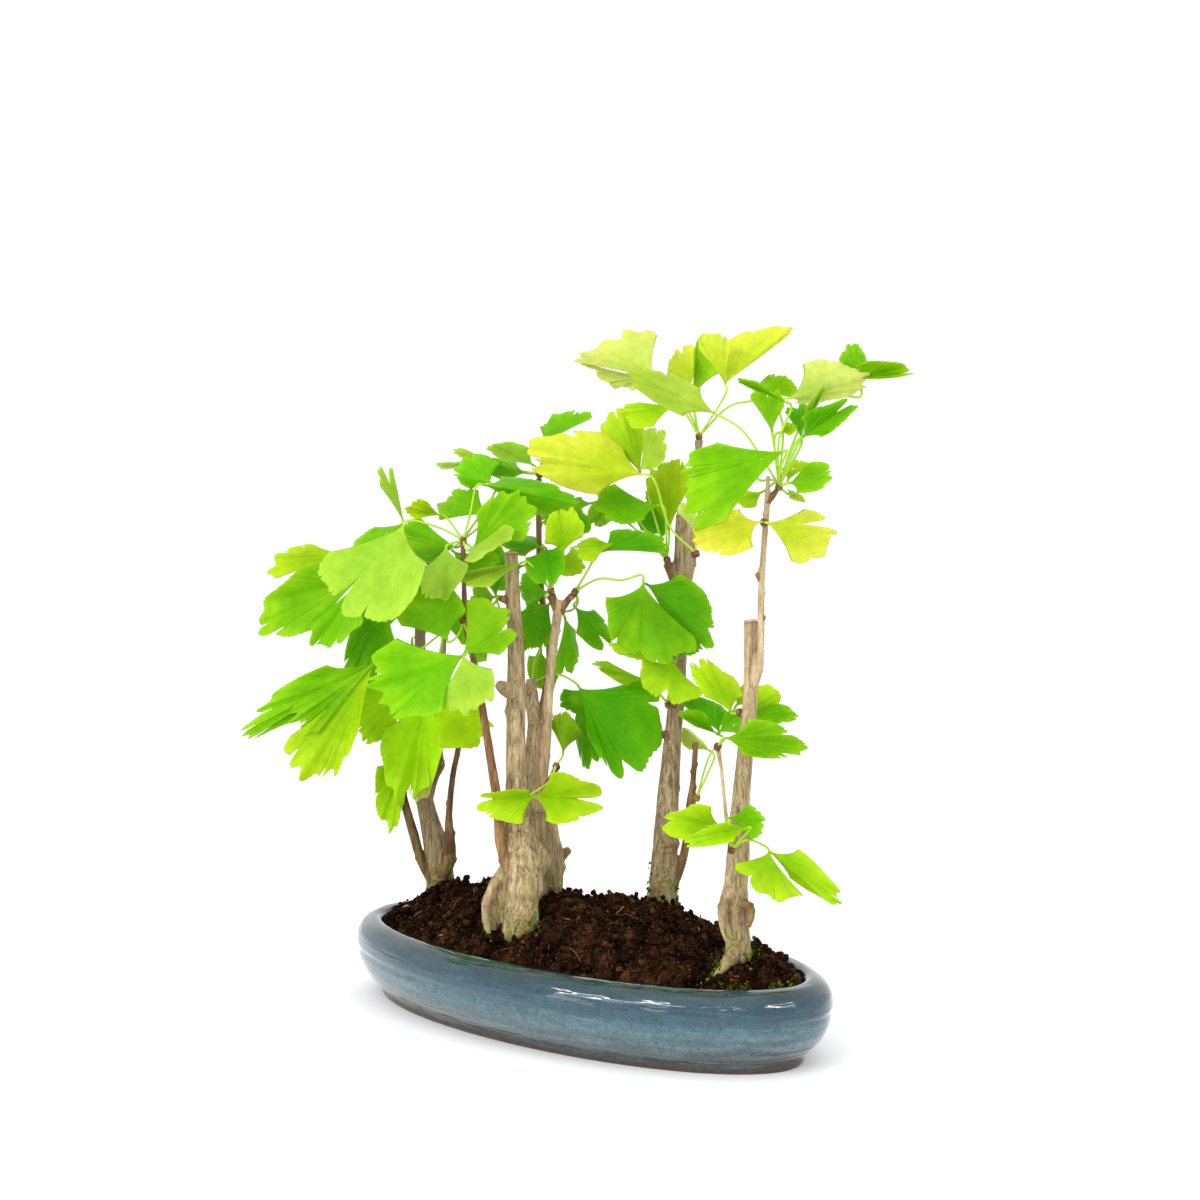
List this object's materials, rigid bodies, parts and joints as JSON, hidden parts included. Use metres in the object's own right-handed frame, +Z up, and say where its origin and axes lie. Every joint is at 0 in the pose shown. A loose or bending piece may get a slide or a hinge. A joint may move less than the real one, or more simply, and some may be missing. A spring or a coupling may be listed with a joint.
{
  "type": "ginkgo bonsai",
  "caption": "Ginkgo forest bonsai: slender cut trunks with whorls of fan-shaped leaves, in soil in a low oval glazed tray.",
  "frame": {"origin": "centre of the tray's flat underside", "axes": "+Z up; X along the tray's long axis, with the tallest trunk towards +X and +Y; Y along its short axis"},
  "size_m": [0.3289, 0.199, 0.3648],
  "materials": {
    "glaze": "gloss",
    "mesh": "matte",
    "soil": "matte",
    "bark": "matte",
    "leaf_deep": "satin",
    "leaf_fresh": "satin",
    "leaf_yellow": "satin"
  },
  "bodies": {
    "root": {"glazed_tray": "glaze", "drain_mesh_left": "mesh", "drain_mesh_right": "mesh", "soil": "soil", "tree_left": "bark", "tree_middle": "bark", "tree_back": "bark", "tree_right": "bark", "leaves_b_bud": "leaf_fresh", "leaves_b_shoot": "leaf_fresh", "leaves_b_fork": "leaf_fresh", "leaves_b_tip": "leaf_deep", "leaves_b_top": "leaf_fresh", "leaves_b_knob": "leaf_deep", "leaves_b_low": "leaf_fresh", "leaves_b_back": "leaf_deep", "leaves_c_back": "leaf_deep", "leaves_d_right": "leaf_yellow", "leaves_d_left": "leaf_fresh", "leaves_d_top": "leaf_yellow", "leaves_d_low": "leaf_fresh", "leaves_d_knob": "leaf_yellow", "leaves_d_back": "leaf_fresh", "leaves_e_top": "leaf_fresh", "leaves_e_shoot": "leaf_yellow", "leaves_e_trunk": "leaf_yellow", "leaves_e_twig": "leaf_fresh", "leaves_e_low": "leaf_fresh", "leaves_a_top": "leaf_fresh", "leaves_a_twig": "leaf_yellow", "leaves_a_left": "leaf_yellow", "leaves_a_back": "leaf_deep"}
  },
  "joints": []
}
